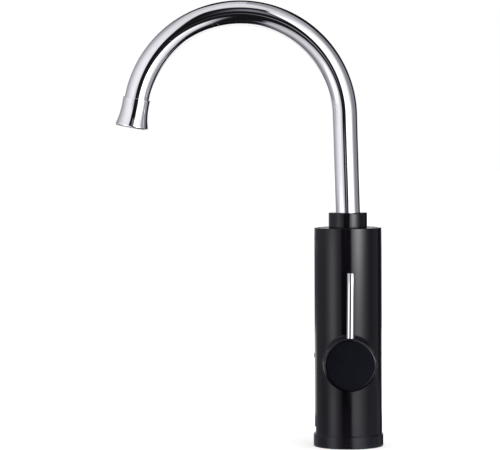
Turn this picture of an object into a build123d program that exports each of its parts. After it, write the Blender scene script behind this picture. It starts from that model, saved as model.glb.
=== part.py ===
from build123d import *
import math
import os

# Electric instant water heater tap, millimetres.
# The origin is on the worktop, on the axis of the body. +Z is up, the spout
# reaches towards -X and the lever is on the -Y side.

# Fits and gaps
RUN = 0.05
SLIP = 0.1
LOOSE = 0.2
SEAM = 0.5

# How far a cutting shape runs past what it cuts, and how close two places are to be the same
past = 1.0
near = 0.01

# Cross and straight slots in the screw heads
slot_w = 1.0
slot_depth = 0.8

# Body tube
body_r = 30.0
body_wall = 3.0
body_top_z = 194.2
body_edge = 0.5
cap_ledge_w = 1.5
cap_ledge_h = 3.0
top_cap_t = 3.1
top_cap_set_in = 0.4

# Foot
foot_ring_step = 1.0
foot_ring_h = 11.0
foot_lip_h = 4.0
foot_edge = 0.6
gasket_t = 2.0
gasket_w = 6.5
gasket_gap = 0.3
base_plate_t = 5.0
foot_screw_inset = 3.5
foot_screw_r = 1.4
foot_screw_head_r = 2.8
foot_screw_head_t = 2.0
foot_screw_len = 14.0
foot_post_r = 4.0
foot_post_h = 18.0
foot_screw_angles = (60, 180, 300)

# Inlet shank, G1/2, and what clamps it under the worktop
shank_r = 10.4775
shank_bore_r = 7.0
shank_len = 58.0
shank_edge = 1.0
hose_thread_len = 15.0
relief_w = 2.0
relief_depth = 1.2
shank_flange_r = 14.0
shank_flange_t = 3.0
nipple_r = 9.0
nipple_h = 10.0
worktop_t = 25.0
clamp_r = 20.0
rubber_washer_t = 3.0
steel_washer_t = 1.5
washer_play = 0.2
cord_slot_w = 9.0
nut_flats = 25.0
nut_h = 10.0
nut_corner = 0.6
nut_corner_h = 1.5
nut_turn = 30.0
filter_h = 5.0
filter_setback = 1.0
filter_hole_r = 1.3
filter_hole_ring_r = 4.2
filter_hole_count = 6

# Cord gland, without its cord
gland_x = 16.0
gland_r = 4.0
gland_bore_r = 3.4
gland_flange_r = 5.0
gland_flange_t = 1.0

# Terminal block
terminal_w = 20.0
terminal_h = 12.0
terminal_lift = 11.0
terminal_gap = 0.5
terminal_wall_gap = 1.46
terminal_pitch = 6.2
terminal_screw_r = 1.7
terminal_screw_h = 4.0
terminal_recess = 1.0
terminal_wire_r = 1.6
terminal_wire_rise = 4.0
terminal_post_r = 2.0
terminal_post_inset = 2.2

# Lever side: the valve lies on this axis
handle_z = 76.0
boss_r = 23.6
boss_face_d = 36.3
boss_blend = 2.0
boss_edge = 1.0
boss_rim = 3.6
dish_depth = 5.8
web_t = 2.5

# Valve block
barrel_r = 15.5
barrel_back = 12.5
barrel_play = 0.3
passage_y = 4.0
passage_r = 4.0
port_x = 6.0
port_up = 4.0
port_down = 6.0
port_r = 2.2
passage_past_port = 1.0
inlet_boss_r = 12.0
inlet_boss_drop = 20.0
hot_boss_r = 7.0
hot_boss_rise = 22.0

# Ceramic cartridge, placed by the distance d in front of the body axis
cartridge_d = 2.0
cartridge_r = 12.0
seal_t = 1.5
disc_r = 10.0
disc_t = 3.0
driver_t = 3.0
nut_thread_len = 6.0
cartridge_cavity_play = 0.6
nut_thread_r = 13.0
cartridge_nut_r = 15.5
cartridge_nut_sink = 1.8
stem_r = 5.0
stem_shoulder_gap = 0.4
stem_square = 7.0
stem_inset = 6.0
stem_nut_play = 0.6

# Knob and lever rod
knob_step = 0.3
knob_t = 13.2
knob_edge = 2.2
knob_wall = 2.5
knob_front_t = 5.0
knob_cap_t = 1.5
knob_cap_edge = 0.3
knob_rim = 2.4
knob_hub_r = 8.0
hub_sink = 1.1
rod_r = 3.5
rod_inset = 7.0
rod_reach = 80.0
rod_root = 6.5
rod_edge = 0.5
rod_lean = 0.7
rod_socket_r = 5.5
knob_screw_r = 1.95
knob_screw_len = 9.5
knob_screw_head_r = 3.6
knob_screw_head_t = 2.4
knob_screw_tip_gap = 1.0

# Flow switch
tube_r = 12.0
tube_bore_r = 8.0
seat_r = 5.0
seat_t = 4.0
float_t = 2.7
float_lift = 0.3
float_play = 0.08
float_stem_r = 3.0
float_notch_r = 1.5
float_notch_count = 6
magnet_r = 6.5
magnet_h = 6.0
guide_t = 3.0
guide_drop = 5.0
guide_hole_r = 1.2
guide_hole_count = 8
spring_r = 4.6
spring_wire_r = 0.4
spring_turns = 5
reed_size = (4.2, 6.0, 18.0)
reed_lift = 8.0
reed_edge = 1.0

# Control board, with the display on its upper end
board_t = 1.6
board_w = 30.0
board_corner = 2.0
board_top_gap = 9.0
board_standoff = 7.7
board_screw_y = 12.0
board_screw_rise = (6.0, 62.0)
board_screw_r = 1.25
board_screw_len = 5.0
board_screw_head_r = 2.3
board_screw_head_t = 1.4
board_post_r = 2.6
triac_size = (4.5, 10.0, 16.0)
triac_rise = 22.0
display_size = (6.0, 18.0, 14.0)

# Front strip in the body, with the display window at its top
strip_w = 26.0
strip_foot_gap = 0.4
strip_top_gap = 11.5
strip_depth = 2.0
strip_set_in = 0.1
window_h = 11.5
window_frame = 1.5
window_open_w = 16.0
notch_h = 5.9
notch_w = 16.0
notch_depth = 0.9
lamp_rise = 4.6
lamp_r = 2.0
lamp_proud = 0.4

# Heating chamber
chamber_wall = 2.0
chamber_floor = 3.0
chamber_socket_gap = 6.0
chamber_gap = 1.5
chamber_board_gap = 5.2
chamber_nipple_h = 10.0
chamber_nipple_wall = 1.2
cap_t = 6.0
cap_rim = 0.5
cap_edge = 1.0
cap_plug_h = 4.0
chamber_gasket_t = 1.2
chamber_gasket_w = 1.5
hot_out_x = -4.0
spigot_r = 4.0
spigot_wall = 1.0
spigot_seat = 8.0
coil_sensor_gap = 0.3
coil_wire_r = 1.5
coil_joint_r = 1.8
coil_top_gap = 7.5
coil_turns = 5
coil_lift = 3.0
coil_leg_top = 3.0
sensor_r = 2.0
sensor_nose = 1.2
sensor_wall_gap = 1.2
sensor_len = 20.0
sensor_head_r = 3.5
sensor_head_h = 4.0
cutout_r = 6.5
cutout_t = 3.5

# Cold pipe past the chamber
pipe_r = 3.0
pipe_wall = 0.6
pipe_wall_gap = 1.5
pipe_seat = 4.0
pipe_low_bend = 5.0
cold_stop_r = 8.0

# Outlet socket in the top of the body
socket_wall = 2.05
socket_drop = 31.0
socket_floor_h = 10.0
socket_rise = 7.6
socket_flange_w = 5.0
socket_cold_h = 4.0

# Collar nut
collar_wall = 2.25
collar_h = 13.3
collar_lip = 2.2
collar_edge = 0.9
collar_bore_play = 0.3

# Spout: a straight root, a slight bend, a leaning riser and the main arc
spout_r = 11.0
spout_wall = 1.0
ferrule_wall = 1.9
ferrule_gap = 2.0
ferrule_flange_w = 1.3
ferrule_flange_t = 2.0
o_ring_r = 0.6
o_ring_drop = (8.0, 18.0)
root_bend_r = 60.0
riser_lean = 1.6
riser_len = 85.3
arc_r = 92.9
arc_end_angle = 169.2
spout_tail = 12.0

# Flared housing on the spout's end, with the aerator in it
bell_wall = 1.2
bell_mouth_wall = 2.3
bell_h = 26.4
bell_straight_h = 6.0
bell_lip = 1.8
bell_edge = 0.4
bell_lip_inner = 0.5
insert_step = 0.4
insert_h = 7.0
washer_t = 1.2
washer_bore_r = 9.0
mouth_step = 1.0
insert_hole_r = 1.0
insert_ring_step = 3.4
insert_ring_count = 2
holes_per_ring_count = 6

# Places worked out from the sizes above
UP = (Align.CENTER, Align.CENTER, Align.MIN)
cavity_r = body_r - body_wall
foot_ring_r = body_r + foot_ring_step
foot_screw_ring_r = cavity_r - foot_screw_inset
plate_z0 = gasket_t
plate_z1 = plate_z0 + base_plate_t
flange_z1 = plate_z1 + shank_flange_t
terminal_x0 = tube_r + terminal_gap
terminal_x1 = math.sqrt((cavity_r - terminal_wall_gap)**2 - (terminal_w / 2)**2)
block_z0 = handle_z - inlet_boss_drop
block_z1 = handle_z + hot_boss_rise
cap_z1 = body_top_z - top_cap_set_in
cap_z0 = cap_z1 - top_cap_t
web_d1 = boss_face_d - dish_depth
boss_dish_r = boss_r - boss_rim
barrel_front_d = web_d1 - web_t
cartridge_front_d = barrel_front_d - nut_thread_len
knob_r = boss_r - knob_step
knob_back_d = boss_face_d + SEAM
knob_face_d = knob_back_d + knob_t
hub_back_d = boss_face_d - hub_sink
stem_round_d = hub_back_d - stem_shoulder_gap
stem_end_d = knob_face_d - stem_inset
rod_d = knob_face_d - rod_inset
cap_recess_r = knob_r - knob_rim
board_x1 = -(cavity_r - board_standoff) + board_t
board_x0 = board_x1 - board_t
board_z0 = block_z1
board_z1 = body_top_z - board_top_gap
board_screw_z = [board_z0 + rise for rise in board_screw_rise]
strip_face_r = body_r - strip_set_in
strip_floor_r = body_r - strip_depth
strip_z0 = foot_ring_h + strip_foot_gap
strip_z1 = body_top_z - strip_top_gap
window_z0 = strip_z1 - window_h
lamp_z = handle_z + lamp_rise
ferrule_r = spout_r + ferrule_wall
socket_bore_r = ferrule_r + RUN
socket_r = socket_bore_r + socket_wall
socket_z0 = body_top_z - socket_drop
socket_floor_z = socket_z0 + socket_floor_h
socket_z1 = body_top_z + socket_rise
ferrule_z0 = socket_floor_z + ferrule_gap
collar_r = socket_r + collar_wall
collar_z0 = cap_z1 + SLIP
collar_top_z = body_top_z + collar_h
chamber_x0 = board_x1 + chamber_board_gap
chamber_x1 = cavity_r - chamber_gap
chamber_r = (chamber_x1 - chamber_x0) / 2
chamber_x = (chamber_x1 + chamber_x0) / 2
chamber_cap_z1 = socket_z0 - chamber_socket_gap
chamber_z1 = chamber_cap_z1 - cap_t
chamber_z0 = block_z1
plug_z0 = chamber_z1 - cap_plug_h
sensor_ring_r = chamber_r - chamber_wall - sensor_r - sensor_wall_gap
coil_r = sensor_ring_r - sensor_r - coil_wire_r - coil_sensor_gap
coil_z0 = chamber_z0 + chamber_floor + coil_lift + coil_wire_r
coil_z1 = plug_z0 - coil_top_gap
pipe_x = -port_x
pipe_ring_r = cavity_r - pipe_wall_gap - pipe_r
pipe_y = math.sqrt(pipe_ring_r**2 - pipe_x**2)
insert_r = spout_r + insert_step
mouth_r = insert_r + mouth_step
bell_top_r = spout_r + bell_wall
bell_mouth_r = mouth_r + bell_mouth_wall


# Shape helpers

def disc(r, z0, z1, x=0.0, y=0.0):
    # Upright cylinder from z0 to z1
    return Pos(x, y, z0) * Cylinder(r, z1 - z0, align=UP)


def ring(r_out, r_in, z0, z1, x=0.0, y=0.0):
    # Upright tube from z0 to z1
    return disc(r_out, z0, z1, x, y) - disc(r_in, z0, z1, x, y)


def side_disc(r, d0, d1, x=0.0, dz=0.0):
    # Cylinder along the lever axis, from d0 to d1 in front of the body axis
    return Pos(x, -d0, handle_z + dz) * Rot(90, 0, 0) * Cylinder(r, d1 - d0, align=UP)


def side_ring(r_out, r_in, d0, d1):
    # Tube along the lever axis
    return side_disc(r_out, d0, d1) - side_disc(r_in, d0, d1)


def cross_disc(r, x0, x1, y, z):
    # Cylinder along X from x0 to x1
    return Pos(x0, y, z) * Rot(0, 90, 0) * Cylinder(r, x1 - x0, align=UP)


def block(x0, x1, y0, y1, z0, z1):
    # Box by its six limits
    centre = Pos((x0 + x1) / 2, (y0 + y1) / 2, (z0 + z1) / 2)
    return centre * Box(x1 - x0, y1 - y0, z1 - z0)


def around(radius, count, start=0.0):
    # Evenly spaced points on a circle about the origin
    step = 360.0 / count
    turns = [math.radians(start + step * i) for i in range(count)]
    return [(radius * math.cos(a), radius * math.sin(a)) for a in turns]


def foot_screw_places():
    # Where the foot screws and their posts stand
    turns = [math.radians(a) for a in foot_screw_angles]
    return [(foot_screw_ring_r * math.cos(a), foot_screw_ring_r * math.sin(a)) for a in turns]


def outer_circle(part, radius, z):
    # The round edges of one radius at one height
    circles = part.edges().filter_by(GeomType.CIRCLE)
    return circles.filter_by(lambda e: abs(e.radius - radius) < near and abs(e.center().Z - z) < near)


def side_circle(part, radius, d):
    # The round edges of one radius at one distance in front of the body axis
    circles = part.edges().filter_by(GeomType.CIRCLE)
    return circles.filter_by(lambda e: abs(e.radius - radius) < near and abs(e.center().Y + d) < near)


# Body tube and what closes it

def strip_segment(r_out, r_in, width, z0, z1):
    # Part of a tube wall on the spout side
    wall = ring(r_out, r_in, z0, z1)
    return wall & block(-r_out, 0, -width / 2, width / 2, z0, z1)


def make_body_shell():
    tube = disc(body_r, foot_lip_h, body_top_z)
    tube = fillet(outer_circle(tube, body_r, body_top_z), body_edge)
    boss = side_disc(boss_r, 0, boss_face_d)
    shell = tube + boss
    saddle = shell.edges().filter_by(lambda e: e.geom_type not in (GeomType.CIRCLE, GeomType.LINE))
    shell = fillet(saddle, boss_blend)
    shell = fillet(side_circle(shell, boss_r, boss_face_d), boss_edge)

    # Inside: the bore, with the ledge that carries the top cap
    ledge_z0 = cap_z0 - cap_ledge_h
    shell -= disc(cavity_r, foot_lip_h, ledge_z0)
    shell -= disc(cavity_r - cap_ledge_w, ledge_z0, cap_z0)
    shell -= disc(cavity_r, cap_z0, body_top_z)

    # Lever boss: room for the valve barrel, a web for its nut, a shallow dish
    shell -= side_disc(barrel_r + barrel_play, 0, barrel_front_d)
    shell -= side_disc(nut_thread_r + LOOSE, barrel_front_d, web_d1)
    shell -= side_disc(boss_dish_r, web_d1, boss_face_d)

    # Pocket for the front strip, window opening and lamp hole
    shell -= strip_segment(body_r + past, strip_floor_r, strip_w, strip_z0, strip_z1)
    open_z0 = window_z0 + window_frame
    open_z1 = strip_z1 - window_frame
    shell -= block(-body_r, -cavity_r + body_wall, -window_open_w / 2, window_open_w / 2, open_z0, open_z1)
    shell -= cross_disc(lamp_r + SLIP, -body_r, -cavity_r + body_wall, 0, lamp_z)

    # Posts for the board and for the foot screws
    room = disc((cavity_r + strip_floor_r) / 2, foot_lip_h, body_top_z)
    for z in board_screw_z:
        for y in (-board_screw_y, board_screw_y):
            shell += cross_disc(board_post_r, -cavity_r, board_x0, y, z) & room
            shell -= cross_disc(board_screw_r + RUN, -cavity_r + body_wall, board_x0, y, z)
    for x, y in foot_screw_places():
        shell += disc(foot_post_r, plate_z1, plate_z1 + foot_post_h, x, y) & room
        shell -= disc(foot_screw_r + RUN, plate_z1, plate_z1 + foot_screw_len, x, y)
    return shell


def make_top_cap():
    return ring(cavity_r - SLIP, socket_r + SLIP, cap_z0, cap_z1)


def make_foot_ring():
    part = disc(foot_ring_r, 0, foot_ring_h)
    part = chamfer(outer_circle(part, foot_ring_r, foot_ring_h), foot_edge)
    part -= disc(body_r + RUN, foot_lip_h, foot_ring_h)
    part -= disc(cavity_r + LOOSE, 0, foot_lip_h)
    return part


def make_base_plate():
    part = disc(cavity_r - SLIP, plate_z0, plate_z1)
    part -= disc(shank_r + SLIP, plate_z0, plate_z1)
    part -= disc(gland_r + SLIP, plate_z0, plate_z1, gland_x)
    for x, y in foot_screw_places():
        part -= disc(foot_screw_r + SLIP, plate_z0, plate_z1, x, y)
        part -= disc(foot_screw_head_r + SLIP, plate_z0, plate_z0 + foot_screw_head_t, x, y)
    for x, y in terminal_post_places():
        part += disc(terminal_post_r, plate_z1, plate_z1 + terminal_lift, x, y)
    return part


def make_foot_screws():
    head_z1 = plate_z0 + foot_screw_head_t
    screws = []
    for x, y in foot_screw_places():
        head = disc(foot_screw_head_r, plate_z0, head_z1, x, y)
        head -= Pos(x, y, plate_z0) * Box(slot_w, 2 * foot_screw_r, 2 * slot_depth)
        screws.append(head + disc(foot_screw_r, head_z1, plate_z0 + foot_screw_len, x, y))
    return Compound(children=screws)


def make_base_gasket():
    # A ring with room for the gland's flange
    part = ring(cavity_r - SLIP, cavity_r - SLIP - gasket_w, 0, gasket_t)
    return part - disc(gland_flange_r + gasket_gap, 0, gasket_t, gland_x)


# Inlet shank and its clamp

def make_inlet_shank():
    part = disc(shank_r, -shank_len, plate_z1)
    part = chamfer(outer_circle(part, shank_r, -shank_len), shank_edge)
    relief_z0 = hose_thread_len - shank_len
    part -= ring(shank_r, shank_r - relief_depth, relief_z0, relief_z0 + relief_w)
    flange = disc(shank_flange_r, plate_z1, flange_z1)
    flat_x = gland_x - gland_r - LOOSE
    flange -= block(flat_x, shank_flange_r, -shank_flange_r, shank_flange_r, plate_z1, flange_z1)
    part += flange
    part += disc(nipple_r, flange_z1, flange_z1 + nipple_h)
    part -= disc(shank_bore_r, -shank_len, flange_z1 + nipple_h)
    return part


def clamp_washer(z1, t):
    # Horseshoe washer, open for the cord on the gland's side
    part = ring(clamp_r, shank_r + washer_play, z1 - t, z1)
    return part - block(0, clamp_r + past, -cord_slot_w / 2, cord_slot_w / 2, z1 - t, z1)


def make_fixing_nut():
    z1 = -worktop_t - rubber_washer_t - steel_washer_t
    flat_towards_gland = Rot(0, 0, nut_turn) * RegularPolygon(nut_flats / 2, 6, major_radius=False)
    part = Pos(0, 0, z1 - nut_h) * extrude(flat_towards_gland, nut_h)
    corner_r = nut_flats / 2 / math.cos(math.radians(nut_turn))
    rounded = disc(corner_r - nut_corner, z1 - nut_h, z1)
    part &= rounded + disc(corner_r, z1 - nut_h + nut_corner_h, z1)
    return part - disc(shank_r + RUN / 2, z1 - nut_h, z1)


def make_inlet_filter():
    z0 = -shank_len + filter_setback
    part = disc(shank_bore_r - RUN, z0, z0 + filter_h)
    part -= disc(filter_hole_r, z0, z0 + filter_h)
    for x, y in around(filter_hole_ring_r, filter_hole_count):
        part -= disc(filter_hole_r, z0, z0 + filter_h, x, y)
    return part


def make_cord_gland():
    flange_z0 = plate_z0 - gland_flange_t
    part = disc(gland_r, flange_z0, flange_z1, gland_x)
    part += disc(gland_flange_r, flange_z0, plate_z0, gland_x)
    return part - disc(gland_bore_r, flange_z0, flange_z1, gland_x)


# Terminal block over the gland

def terminal_post_places():
    x = (terminal_x0 + terminal_x1) / 2
    y = terminal_w / 2 - terminal_post_inset
    return [(x, -y), (x, y)]


def make_terminal_block():
    half = terminal_w / 2
    z0 = plate_z1 + terminal_lift
    z1 = z0 + terminal_h
    part = block(terminal_x0, terminal_x1, -half, half, z0, z1)
    part = chamfer(part.edges().filter_by(Axis.Z), terminal_recess)
    x = (terminal_x0 + terminal_x1) / 2
    for i in (-1, 0, 1):
        y = i * terminal_pitch
        part -= disc(terminal_screw_r + SLIP, z1 - terminal_screw_h - terminal_recess, z1, x, y)
        part -= cross_disc(terminal_wire_r, x, terminal_x1, y, z0 + terminal_wire_rise)
    return part


def make_terminal_screws():
    x = (terminal_x0 + terminal_x1) / 2
    z1 = plate_z1 + terminal_lift + terminal_h - terminal_recess
    screws = []
    for i in (-1, 0, 1):
        y = i * terminal_pitch
        screw = disc(terminal_screw_r, z1 - terminal_screw_h, z1, x, y)
        screws.append(screw - Pos(x, y, z1) * Box(slot_w, 2 * terminal_screw_r, 2 * slot_depth))
    return Compound(children=screws)


# Valve block, cartridge and stem

def make_valve_block():
    part = side_disc(barrel_r, -barrel_back, barrel_front_d)
    part += disc(inlet_boss_r, block_z0, handle_z)
    part += disc(hot_boss_r, handle_z, block_z1, port_x, passage_y)
    part -= side_disc(cartridge_r, cartridge_d, barrel_front_d)
    part -= side_disc(nut_thread_r, cartridge_front_d, barrel_front_d)

    # Water ways: inlet from below, hot water up, cold water out at the back
    part -= disc(passage_r, block_z0, handle_z - port_down + passage_past_port, 0, passage_y)
    part -= side_disc(port_r, -passage_y, cartridge_d, 0, -port_down)
    part -= disc(passage_r, handle_z + port_up - passage_past_port, block_z1, port_x, passage_y)
    part -= side_disc(port_r, -passage_y, cartridge_d, port_x, port_up)
    part -= side_disc(port_r, -barrel_back, cartridge_d, -port_x, port_up)
    part -= side_disc(pipe_r + RUN, -barrel_back, -barrel_back + pipe_seat, -port_x, port_up)
    return part


def drill_ports(part, d0, d1):
    # The three ports that the seal and the fixed disc share
    part -= side_disc(port_r, d0, d1, 0, -port_down)
    part -= side_disc(port_r, d0, d1, port_x, port_up)
    part -= side_disc(port_r, d0, d1, -port_x, port_up)
    return part


seal_d1 = cartridge_d + seal_t
fixed_d1 = seal_d1 + disc_t
moving_d0 = fixed_d1 + RUN
moving_d1 = moving_d0 + disc_t
driver_d1 = moving_d1 + driver_t


def make_cartridge_seal():
    return drill_ports(side_disc(cartridge_r - SLIP, cartridge_d, seal_d1), cartridge_d, seal_d1)


def make_fixed_disc():
    return drill_ports(side_disc(disc_r, seal_d1, fixed_d1), seal_d1, fixed_d1)


def make_moving_disc():
    # The pocket in its face joins the inlet to one outlet when it turns
    part = side_disc(disc_r - RUN, moving_d0, moving_d1)
    pocket = side_ring(port_down + port_r, port_down - port_r, moving_d0, moving_d0 + disc_t / 2)
    lower = block(-disc_r, disc_r, -moving_d1, -moving_d0, handle_z - disc_r, handle_z - port_r)
    return part - (pocket & lower)


def make_cartridge_housing():
    part = side_disc(cartridge_r - SLIP, seal_d1, cartridge_front_d)
    part -= side_disc(disc_r + SLIP, seal_d1, driver_d1 + cartridge_cavity_play)
    return part - side_disc(stem_r + RUN, seal_d1, cartridge_front_d)


def make_cartridge_nut():
    part = side_disc(nut_thread_r - RUN, cartridge_front_d, web_d1)
    hexagon = extrude(RegularPolygon(cartridge_nut_r, 6), dish_depth - cartridge_nut_sink)
    part += Pos(0, -web_d1, handle_z) * Rot(90, 0, 0) * hexagon
    return part - side_disc(stem_r + stem_nut_play, cartridge_front_d, boss_face_d)


def make_valve_stem():
    part = side_disc(disc_r - RUN, moving_d1, driver_d1)
    part += side_disc(stem_r, driver_d1, stem_round_d)
    half = stem_square / 2
    part += block(-half, half, -stem_end_d, -stem_round_d, handle_z - half, handle_z + half)
    return part - side_disc(knob_screw_r + RUN / 2, stem_end_d - knob_screw_len, stem_end_d)


# Knob and lever

def on_rod(part):
    # From an upright part at the origin to its place along the lever rod
    return Pos(0, -rod_d, handle_z) * Rot(0, rod_lean, 0) * part


def make_knob():
    face_back_d = knob_face_d - knob_front_t
    part = side_disc(knob_r, knob_back_d, knob_face_d)
    part = fillet(side_circle(part, knob_r, knob_face_d), knob_edge)
    cavity = side_disc(knob_r - knob_wall, knob_back_d, face_back_d)
    part -= cavity
    part += side_disc(knob_hub_r, hub_back_d, face_back_d)
    part += on_rod(disc(rod_socket_r, rod_root, knob_r - knob_wall / 2)) & cavity
    part -= side_disc(cap_recess_r, knob_face_d - knob_cap_t, knob_face_d)
    half = stem_square / 2 + RUN
    socket_end_d = stem_end_d + LOOSE
    part -= block(-half, half, -socket_end_d, -hub_back_d, handle_z - half, handle_z + half)
    part -= side_disc(knob_screw_r + SLIP, stem_end_d, knob_face_d)
    head_d1 = knob_face_d - knob_cap_t
    part -= side_disc(knob_screw_head_r + LOOSE, head_d1 - knob_screw_head_t - SLIP, head_d1)
    part -= on_rod(disc(rod_r + RUN, rod_root, rod_reach))
    return part


def make_knob_cap():
    part = side_disc(cap_recess_r - SLIP, knob_face_d - knob_cap_t, knob_face_d)
    return chamfer(side_circle(part, cap_recess_r - SLIP, knob_face_d), knob_cap_edge)


def make_knob_screw():
    head_d0 = knob_face_d - knob_cap_t - knob_screw_head_t - SLIP
    head_d1 = head_d0 + knob_screw_head_t
    part = side_disc(knob_screw_r, stem_end_d - knob_screw_len + knob_screw_tip_gap, head_d0)
    part += side_disc(knob_screw_head_r, head_d0, head_d1)
    slot_len = 2 * knob_screw_r
    slots = Box(slot_w, knob_screw_head_t, slot_len) + Box(slot_len, knob_screw_head_t, slot_w)
    return part - Pos(0, -head_d1, handle_z) * slots


def make_lever_rod():
    rod = disc(rod_r, rod_root, rod_reach)
    rod = chamfer(outer_circle(rod, rod_r, rod_reach), rod_edge)
    return on_rod(rod)


# Flow switch between the shank and the valve

tube_z0 = flange_z1
tube_socket_z = tube_z0 + nipple_h
seat_z1 = tube_socket_z + seat_t
float_z0 = seat_z1 + float_lift
magnet_z0 = float_z0 + float_t
magnet_z1 = magnet_z0 + magnet_h
guide_z1 = block_z0 - guide_drop
guide_z0 = guide_z1 - guide_t


def make_flow_tube():
    part = disc(tube_r, tube_z0, block_z0)
    part -= disc(nipple_r + RUN, tube_z0, tube_socket_z)
    part -= disc(seat_r, tube_socket_z, seat_z1)
    return part - disc(tube_bore_r, seat_z1, block_z0)


def make_flow_float():
    part = disc(tube_bore_r - float_play, float_z0, magnet_z0)
    for x, y in around(tube_bore_r, float_notch_count):
        part -= disc(float_notch_r, float_z0, magnet_z0, x, y)
    return part + disc(float_stem_r, magnet_z0, guide_z1 + float_lift)


def make_flow_magnet():
    return ring(magnet_r, float_stem_r + RUN, magnet_z0, magnet_z1)


def make_flow_guide():
    part = disc(tube_bore_r - RUN, guide_z0, guide_z1)
    part -= disc(float_stem_r + float_play, guide_z0, guide_z1)
    for x, y in around((spring_r + spring_wire_r + tube_bore_r) / 2, guide_hole_count):
        part -= disc(guide_hole_r, guide_z0, guide_z1, x, y)
    return part


def coil_tube(radius, wire_r, pitch, turns):
    # A round wire wound upwards from the XY plane
    path = Helix(pitch, pitch * turns, radius)
    section = Plane(path @ 0, z_dir=path % 0) * Circle(wire_r)
    return sweep(section, path, is_frenet=True)


def make_flow_spring():
    room = guide_z0 - magnet_z1 - 2 * spring_wire_r - LOOSE
    coil = coil_tube(spring_r, spring_wire_r, room / spring_turns, spring_turns)
    return Pos(0, 0, magnet_z1 + spring_wire_r + SLIP) * coil


def make_reed_switch():
    z0 = magnet_z0 - reed_lift
    half = reed_size[1] / 2
    part = block(-tube_r - reed_size[0], -tube_r, -half, half, z0, z0 + reed_size[2])
    return fillet(part.edges().filter_by(Axis.Z), reed_edge)


# Control board, display and front strip

def make_control_board():
    part = block(board_x0, board_x1, -board_w / 2, board_w / 2, board_z0, board_z1)
    part = chamfer(part.edges().filter_by(Axis.X), board_corner)
    for z in board_screw_z:
        for y in (-board_screw_y, board_screw_y):
            part -= cross_disc(board_screw_r + SLIP, board_x0, board_x1, y, z)
    return part


def make_board_screws():
    screws = []
    for z in board_screw_z:
        for y in (-board_screw_y, board_screw_y):
            screw = cross_disc(board_screw_r, board_x0 - board_screw_len + board_t, board_x1, y, z)
            screw += cross_disc(board_screw_head_r, board_x1, board_x1 + board_screw_head_t, y, z)
            screws.append(screw)
    return Compound(children=screws)


def make_power_triac():
    half = triac_size[1] / 2
    z0 = board_z0 + triac_rise - triac_size[2] / 2
    return block(board_x0 - triac_size[0], board_x0, -half, half, z0, z0 + triac_size[2])


def make_display_module():
    half = display_size[1] / 2
    middle = (window_z0 + strip_z1) / 2
    z0 = middle - display_size[2] / 2
    part = block(board_x0 - display_size[0], board_x0, -half, half, z0, z0 + display_size[2])
    return part & disc(cavity_r - SLIP, z0, z0 + display_size[2])


def make_front_strip():
    part = strip_segment(strip_face_r, strip_floor_r + RUN, strip_w - LOOSE,
                         strip_z0 + SLIP, window_z0 - RUN)
    part -= cross_disc(lamp_r + SLIP, -body_r, -cavity_r, 0, lamp_z)
    notch_r = strip_face_r - notch_depth
    return part - strip_segment(body_r, notch_r, notch_w, strip_z0, strip_z0 + notch_h)


def make_display_window():
    return strip_segment(strip_face_r, strip_floor_r + RUN, strip_w - LOOSE,
                         window_z0 + RUN, strip_z1 - SLIP)


def make_lamp_lens():
    x0 = -strip_face_r - lamp_proud
    part = cross_disc(lamp_r, x0, -cavity_r, 0, lamp_z)
    rim = part.edges().filter_by(GeomType.CIRCLE).sort_by(Axis.X)[0]
    return fillet(rim, lamp_proud)


# Heating chamber

def make_chamber():
    part = disc(chamber_r, chamber_z0, chamber_z1, chamber_x)
    part -= disc(chamber_r - chamber_wall, chamber_z0 + chamber_floor, chamber_z1, chamber_x)
    rebate_r = chamber_r - chamber_wall + chamber_gasket_w + SLIP
    part -= disc(rebate_r, chamber_z1 - chamber_gasket_t, chamber_z1, chamber_x)
    nipple_r_out = passage_r - RUN
    part += disc(nipple_r_out, chamber_z0 - chamber_nipple_h, chamber_z0, port_x, passage_y)
    bore = nipple_r_out - chamber_nipple_wall
    return part - disc(bore, chamber_z0 - chamber_nipple_h, chamber_z0 + chamber_floor, port_x, passage_y)


def make_chamber_gasket():
    r = chamber_r - chamber_wall
    return ring(r + chamber_gasket_w, r, chamber_z1 - chamber_gasket_t, chamber_z1, chamber_x)


def make_chamber_cap():
    r_cap = chamber_r + cap_rim
    part = disc(r_cap, chamber_z1, chamber_cap_z1, chamber_x)
    part = chamfer(outer_circle(part, r_cap, chamber_cap_z1), cap_edge)
    part += disc(chamber_r - chamber_wall - SLIP, plug_z0, chamber_z1, chamber_x)
    spigot_z1 = socket_z0 + spigot_seat
    part += disc(spigot_r, chamber_cap_z1, spigot_z1, hot_out_x)
    part -= disc(spigot_r - spigot_wall, plug_z0, spigot_z1, hot_out_x)
    for x in (chamber_x, chamber_x + coil_r):
        part -= disc(coil_wire_r + SLIP, plug_z0, chamber_cap_z1, x)
    return part - disc(sensor_r + RUN, plug_z0, chamber_cap_z1, chamber_x, sensor_ring_r)


def make_heating_coil():
    # A centre leg, an arm out to the first turn, the turns and the outer leg
    top = chamber_cap_z1 + coil_leg_top
    pitch = (coil_z1 - coil_z0) / coil_turns
    part = Pos(chamber_x, 0, coil_z0) * coil_tube(coil_r, coil_wire_r, pitch, coil_turns)
    part += Pos(chamber_x + coil_r, 0, coil_z0) * Sphere(coil_joint_r)
    part += Pos(chamber_x, 0, coil_z0) * Sphere(coil_joint_r)
    part += cross_disc(coil_wire_r, chamber_x, chamber_x + coil_r, 0, coil_z0)
    part += disc(coil_wire_r, coil_z0, top, chamber_x)
    part += Pos(chamber_x + coil_r, 0, coil_z1) * Sphere(coil_joint_r)
    return part + disc(coil_wire_r, coil_z1, top, chamber_x + coil_r)


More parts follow.
